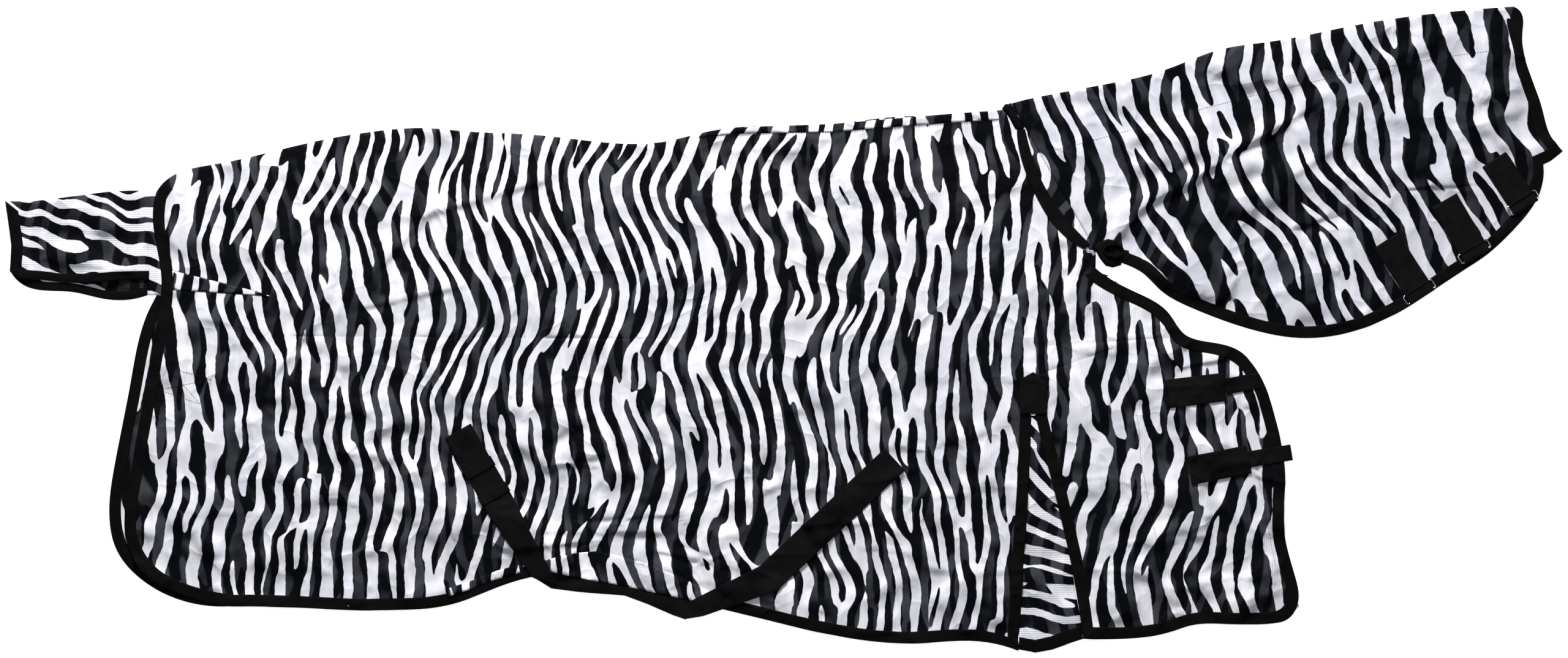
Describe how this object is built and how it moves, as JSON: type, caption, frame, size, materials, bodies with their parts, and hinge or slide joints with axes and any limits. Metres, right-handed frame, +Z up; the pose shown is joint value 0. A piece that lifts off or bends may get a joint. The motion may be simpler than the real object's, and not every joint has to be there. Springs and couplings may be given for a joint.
{
  "type": "horse fly sheet",
  "caption": "Mesh horse fly sheet with neck cover, tail flap, belly straps and throat fasteners, laid flat and folded in half along the spine.",
  "frame": {"origin": "centre of the layout's bounding box, on the surface that it lies on", "axes": "+X towards the head, +Y towards the spine, +Z up"},
  "size_m": [2.618, 1.0835, 0.014],
  "materials": {
    "printed_mesh": "ribbed, slightly see-through polyester mesh with a zebra print",
    "edge_binding": "matt black woven binding tape",
    "black_webbing": "matt black webbing",
    "chrome_ring": "polished"
  },
  "bodies": {
    "far_side": {"far_side_panel": "printed_mesh", "far_rear_binding": "edge_binding", "far_hem_binding": "edge_binding", "far_gusset_rear_binding": "edge_binding", "far_gusset_front_binding": "edge_binding", "far_front_hem_binding": "edge_binding", "far_chest_binding": "edge_binding", "far_neckline_binding": "edge_binding", "far_shoulder_gusset": "printed_mesh", "far_gusset_hem_binding": "edge_binding", "spine_strip": "printed_mesh"},
    "near_side": {"near_side_panel": "printed_mesh", "near_rear_binding": "edge_binding", "near_hem_binding": "edge_binding", "near_gusset_rear_binding": "edge_binding", "near_gusset_front_binding": "edge_binding", "near_front_hem_binding": "edge_binding", "near_chest_binding": "edge_binding", "near_neckline_binding": "edge_binding", "near_shoulder_gusset": "printed_mesh", "near_gusset_hem_binding": "edge_binding", "gusset_patch": "black_webbing", "leg_strap_patch": "black_webbing", "neck_seam_binding": "edge_binding", "rear_strap_base": "black_webbing", "rear_strap_keeper_1": "black_webbing", "rear_strap_keeper_2": "black_webbing", "front_strap_base": "black_webbing", "lower_chest_anchor": "black_webbing"},
    "neck": {"neck_far_panel": "printed_mesh", "neck_far_throat_binding": "edge_binding", "neck_far_tip_binding": "edge_binding", "neck_far_front_binding": "edge_binding", "neck_crest_strip": "printed_mesh"},
    "neck_near": {"neck_near_panel": "printed_mesh", "neck_near_throat_binding": "edge_binding", "neck_near_tip_binding": "edge_binding", "neck_near_front_binding": "edge_binding", "neck_fastening_loop": "black_webbing", "throat_keeper_1": "black_webbing", "throat_keeper_2": "black_webbing", "throat_keeper_3": "black_webbing"},
    "tail": {"tail_far_panel": "printed_mesh", "tail_far_end_binding": "edge_binding", "tail_far_edge_binding": "edge_binding", "tail_crest_strip": "printed_mesh"},
    "tail_near": {"tail_near_panel": "printed_mesh", "tail_near_end_binding": "edge_binding", "tail_near_edge_binding": "edge_binding"},
    "rear_belly_strap": {"rear_belly_strap": "black_webbing", "rear_strap_return": "black_webbing"},
    "front_belly_strap": {"front_belly_strap": "black_webbing"},
    "upper_chest_tab": {"upper_chest_strap": "black_webbing", "upper_chest_pad": "black_webbing"},
    "lower_chest_tab": {"lower_chest_strap": "black_webbing", "lower_chest_pad": "black_webbing"},
    "throat_ring_1": {"throat_ring_1": "chrome_ring"},
    "throat_tab_1": {"throat_tab_1": "black_webbing"},
    "throat_ring_2": {"throat_ring_2": "chrome_ring"},
    "throat_tab_2": {"throat_tab_2": "black_webbing"},
    "throat_ring_3": {"throat_ring_3": "chrome_ring"},
    "throat_tab_3": {"throat_tab_3": "black_webbing"}
  },
  "joints": [
    {"name": "near_side_open", "type": "hinge", "parent": "far_side", "child": "near_side", "pos_m": [-1.31, 0.2018, 0.0056], "axis": [-0.9962, -0.0866, 0], "range_deg": [0, 172]},
    {"name": "neck_fold", "type": "hinge", "parent": "far_side", "child": "neck", "pos_m": [0.453, 0.2545, 0.0056], "axis": [-0.4976, 0.8674, 0], "range_deg": [-130, 0]},
    {"name": "neck_open", "type": "hinge", "parent": "neck", "child": "neck_near", "pos_m": [-1.31, 0.2018, 0.0056], "axis": [-0.9962, -0.0866, 0], "range_deg": [0, 172]},
    {"name": "tail_fold", "type": "hinge", "parent": "far_side", "child": "tail", "pos_m": [-1.066, 0.145, 0.0056], "axis": [0, -1, 0], "range_deg": [-125, 0]},
    {"name": "tail_open", "type": "hinge", "parent": "tail", "child": "tail_near", "pos_m": [-1.31, 0.2018, 0.0056], "axis": [-0.9962, -0.0866, 0], "range_deg": [0, 172]},
    {"name": "rear_belly_strap_swing", "type": "hinge", "parent": "near_side", "child": "rear_belly_strap", "pos_m": [-0.47347, -0.30117, 0.008], "axis": [0.8678, 0.4969, 0], "range_deg": [-110, 0]},
    {"name": "front_belly_strap_swing", "type": "hinge", "parent": "near_side", "child": "front_belly_strap", "pos_m": [0.07663, -0.32166, 0.008], "axis": [0.6844, -0.7291, 0], "range_deg": [-110, 0]},
    {"name": "upper_chest_tab_swing", "type": "hinge", "parent": "near_side", "child": "upper_chest_tab", "pos_m": [0.798, -0.086, 0.008], "axis": [0.1895, -0.9819, 0], "range_deg": [-150, 0]},
    {"name": "lower_chest_tab_swing", "type": "hinge", "parent": "near_side", "child": "lower_chest_tab", "pos_m": [0.852, -0.207, 0.008], "axis": [0.1666, -0.986, 0], "range_deg": [-150, 0]},
    {"name": "throat_ring_1_tilt", "type": "hinge", "parent": "neck_near", "child": "throat_ring_1", "pos_m": [1.06287, 0.0686, 0.0088], "axis": [-0.8403, -0.5421, 0], "range_deg": [0, 42]},
    {"name": "throat_tab_1_swing", "type": "hinge", "parent": "throat_ring_1", "child": "throat_tab_1", "pos_m": [1.071, 0.056, 0.0088], "axis": [-0.8403, -0.5421, 0], "range_deg": [-120, 0]},
    {"name": "throat_ring_2_tilt", "type": "hinge", "parent": "neck_near", "child": "throat_ring_2", "pos_m": [1.15541, 0.13694, 0.0088], "axis": [-0.8624, -0.5062, 0], "range_deg": [0, 42]},
    {"name": "throat_tab_2_swing", "type": "hinge", "parent": "throat_ring_2", "child": "throat_tab_2", "pos_m": [1.163, 0.124, 0.0088], "axis": [-0.8624, -0.5062, 0], "range_deg": [-120, 0]},
    {"name": "throat_ring_3_tilt", "type": "hinge", "parent": "neck_near", "child": "throat_ring_3", "pos_m": [1.23675, 0.21853, 0.0088], "axis": [-0.8353, -0.5498, 0], "range_deg": [0, 42]},
    {"name": "throat_tab_3_swing", "type": "hinge", "parent": "throat_ring_3", "child": "throat_tab_3", "pos_m": [1.245, 0.206, 0.0088], "axis": [-0.8353, -0.5498, 0], "range_deg": [-120, 0]}
  ],
  "couplings": [
    {"joint": "neck_open", "follows": "near_side_open", "ratio": 1},
    {"joint": "tail_open", "follows": "near_side_open", "ratio": 1},
    {"joint": "throat_ring_1_tilt", "follows": "throat_tab_1_swing", "ratio": -0.35},
    {"joint": "throat_ring_2_tilt", "follows": "throat_tab_2_swing", "ratio": -0.35},
    {"joint": "throat_ring_3_tilt", "follows": "throat_tab_3_swing", "ratio": -0.35}
  ]
}
